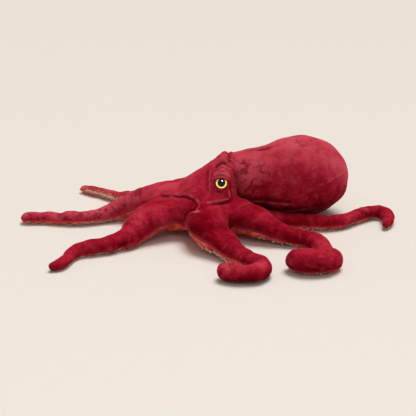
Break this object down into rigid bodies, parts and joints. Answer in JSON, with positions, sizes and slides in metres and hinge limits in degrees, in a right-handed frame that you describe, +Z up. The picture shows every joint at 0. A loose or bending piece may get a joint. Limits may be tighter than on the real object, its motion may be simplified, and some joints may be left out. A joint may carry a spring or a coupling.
{
  "type": "plush octopus",
  "caption": "Stuffed plush octopus with eight curling arms, velour tops over satin undersides, safety eyes and a padded mantle.",
  "frame": {"origin": "middle of the belly's flat rest face, on the surface the toy lies on", "axes": "+Z up from the rest face, +X along the spread of the arms towards the mantle's end, the toy's left side towards -Y"},
  "size_m": [0.5223, 0.4671, 0.1155],
  "materials": {
    "velour": "brushed crimson velour with a short pile",
    "satin": "orange-red satin with a soft sheen",
    "filling": "white polyester fibre",
    "lens": "clear domed plastic",
    "iris": "gold painted disc with a black pupil",
    "washer": "white plastic lock washer"
  },
  "bodies": {
    "crown": {"crown_cover": "velour", "crown_fill": "filling", "belly_panel": "satin", "left_eye_lens": "lens", "right_eye_lens": "lens", "eye_backs": "iris", "eye_washers": "washer", "left_eyelid": "velour", "right_eyelid": "velour"},
    "mantle": {"mantle_upper_cover": "velour", "mantle_lower_cover": "velour", "mantle_fill": "filling"},
    "left_arm_1_root": {"left_arm_1_root_cover": "velour", "left_arm_1_root_underside": "satin", "left_arm_1_root_fill": "filling"},
    "left_arm_1_tip": {"left_arm_1_tip_cover": "velour", "left_arm_1_tip_underside": "satin", "left_arm_1_tip_fill": "filling"},
    "left_arm_2_root": {"left_arm_2_root_cover": "velour", "left_arm_2_root_underside": "satin", "left_arm_2_root_fill": "filling"},
    "left_arm_2_tip": {"left_arm_2_tip_cover": "velour", "left_arm_2_tip_underside": "satin", "left_arm_2_tip_fill": "filling"},
    "left_arm_3_root": {"left_arm_3_root_cover": "velour", "left_arm_3_root_underside": "satin", "left_arm_3_root_fill": "filling"},
    "left_arm_3_tip": {"left_arm_3_tip_cover": "velour", "left_arm_3_tip_underside": "satin", "left_arm_3_tip_fill": "filling"},
    "left_arm_4_root": {"left_arm_4_root_cover": "velour", "left_arm_4_root_underside": "satin", "left_arm_4_root_fill": "filling"},
    "left_arm_4_tip": {"left_arm_4_tip_cover": "velour", "left_arm_4_tip_underside": "satin", "left_arm_4_tip_fill": "filling"},
    "right_arm_1_root": {"right_arm_1_root_cover": "velour", "right_arm_1_root_underside": "satin", "right_arm_1_root_fill": "filling"},
    "right_arm_1_tip": {"right_arm_1_tip_cover": "velour", "right_arm_1_tip_underside": "satin", "right_arm_1_tip_fill": "filling"},
    "right_arm_2_root": {"right_arm_2_root_cover": "velour", "right_arm_2_root_underside": "satin", "right_arm_2_root_fill": "filling"},
    "right_arm_2_tip": {"right_arm_2_tip_cover": "velour", "right_arm_2_tip_underside": "satin", "right_arm_2_tip_fill": "filling"},
    "right_arm_3_root": {"right_arm_3_root_cover": "velour", "right_arm_3_root_underside": "satin", "right_arm_3_root_fill": "filling"},
    "right_arm_3_tip": {"right_arm_3_tip_cover": "velour", "right_arm_3_tip_underside": "satin", "right_arm_3_tip_fill": "filling"},
    "right_arm_4_root": {"right_arm_4_root_cover": "velour", "right_arm_4_root_underside": "satin", "right_arm_4_root_fill": "filling"},
    "right_arm_4_tip": {"right_arm_4_tip_cover": "velour", "right_arm_4_tip_underside": "satin", "right_arm_4_tip_fill": "filling"}
  },
  "joints": [
    {"name": "mantle_lift", "type": "hinge", "parent": "crown", "child": "mantle", "pos_m": [0.05352, 0.01908, 0.10001], "axis": [0.2672, -0.9636, 0], "range_deg": [0, 35]},
    {"name": "left_arm_1_lift", "type": "hinge", "parent": "crown", "child": "left_arm_1_root", "pos_m": [-0.07029, -0.04223, 0.027], "axis": [-0.515, 0.8572, 0], "range_deg": [0, 40]},
    {"name": "left_arm_1_bend", "type": "hinge", "parent": "left_arm_1_root", "child": "left_arm_1_tip", "pos_m": [-0.134, -0.1043, 0.0113], "axis": [0, 0, 1], "range_deg": [-25, 25]},
    {"name": "left_arm_2_lift", "type": "hinge", "parent": "crown", "child": "left_arm_2_root", "pos_m": [-0.00286, -0.08195, 0.026], "axis": [-0.9994, 0.0349, 0], "range_deg": [0, 40]},
    {"name": "left_arm_2_bend", "type": "hinge", "parent": "left_arm_2_root", "child": "left_arm_2_tip", "pos_m": [0.03525, -0.14138, 0.01308], "axis": [0, 0, 1], "range_deg": [-25, 10]},
    {"name": "left_arm_3_lift", "type": "hinge", "parent": "crown", "child": "left_arm_3_root", "pos_m": [0.06094, -0.05487, 0.024], "axis": [-0.6691, -0.7431, 0], "range_deg": [0, 40]},
    {"name": "left_arm_3_bend", "type": "hinge", "parent": "left_arm_3_root", "child": "left_arm_3_tip", "pos_m": [0.11716, -0.07839, 0.0108], "axis": [0, 0, 1], "range_deg": [-5, 25]},
    {"name": "left_arm_4_swing", "type": "hinge", "parent": "crown", "child": "left_arm_4_root", "pos_m": [0.08021, -0.01705, 0.015], "axis": [0, 0, -1], "range_deg": [0, 25]},
    {"name": "left_arm_4_bend", "type": "hinge", "parent": "left_arm_4_root", "child": "left_arm_4_tip", "pos_m": [0.16204, -0.01926, 0.0113], "axis": [0, 0, 1], "range_deg": [-25, 25]},
    {"name": "right_arm_1_lift", "type": "hinge", "parent": "crown", "child": "right_arm_1_root", "pos_m": [-0.08075, 0.01424, 0.027], "axis": [0.1736, 0.9848, 0], "range_deg": [0, 40]},
    {"name": "right_arm_1_bend", "type": "hinge", "parent": "right_arm_1_root", "child": "right_arm_1_tip", "pos_m": [-0.1499, 0.00774, 0.0108], "axis": [0, 0, 1], "range_deg": [-25, 25]},
    {"name": "right_arm_2_lift", "type": "hinge", "parent": "crown", "child": "right_arm_2_root", "pos_m": [-0.05997, 0.05592, 0.024], "axis": [0.682, 0.7314, 0], "range_deg": [0, 40]},
    {"name": "right_arm_2_bend", "type": "hinge", "parent": "right_arm_2_root", "child": "right_arm_2_tip", "pos_m": [-0.13149, 0.09395, 0.01209], "axis": [0, 0, 1], "range_deg": [-25, 25]},
    {"name": "right_arm_3_lift", "type": "hinge", "parent": "crown", "child": "right_arm_3_root", "pos_m": [-0.01424, 0.08075, 0.024], "axis": [0.9848, 0.1736, 0], "range_deg": [0, 40]},
    {"name": "right_arm_3_bend", "type": "hinge", "parent": "right_arm_3_root", "child": "right_arm_3_tip", "pos_m": [-0.00977, 0.16574, 0.0113], "axis": [0, 0, 1], "range_deg": [-25, 25]},
    {"name": "right_arm_4_swing", "type": "hinge", "parent": "crown", "child": "right_arm_4_root", "pos_m": [0.04345, 0.06954, 0.015], "axis": [0, 0, 1], "range_deg": [0, 25]},
    {"name": "right_arm_4_bend", "type": "hinge", "parent": "right_arm_4_root", "child": "right_arm_4_tip", "pos_m": [0.10663, 0.12595, 0.0118], "axis": [0, 0, 1], "range_deg": [-25, 25]}
  ]
}
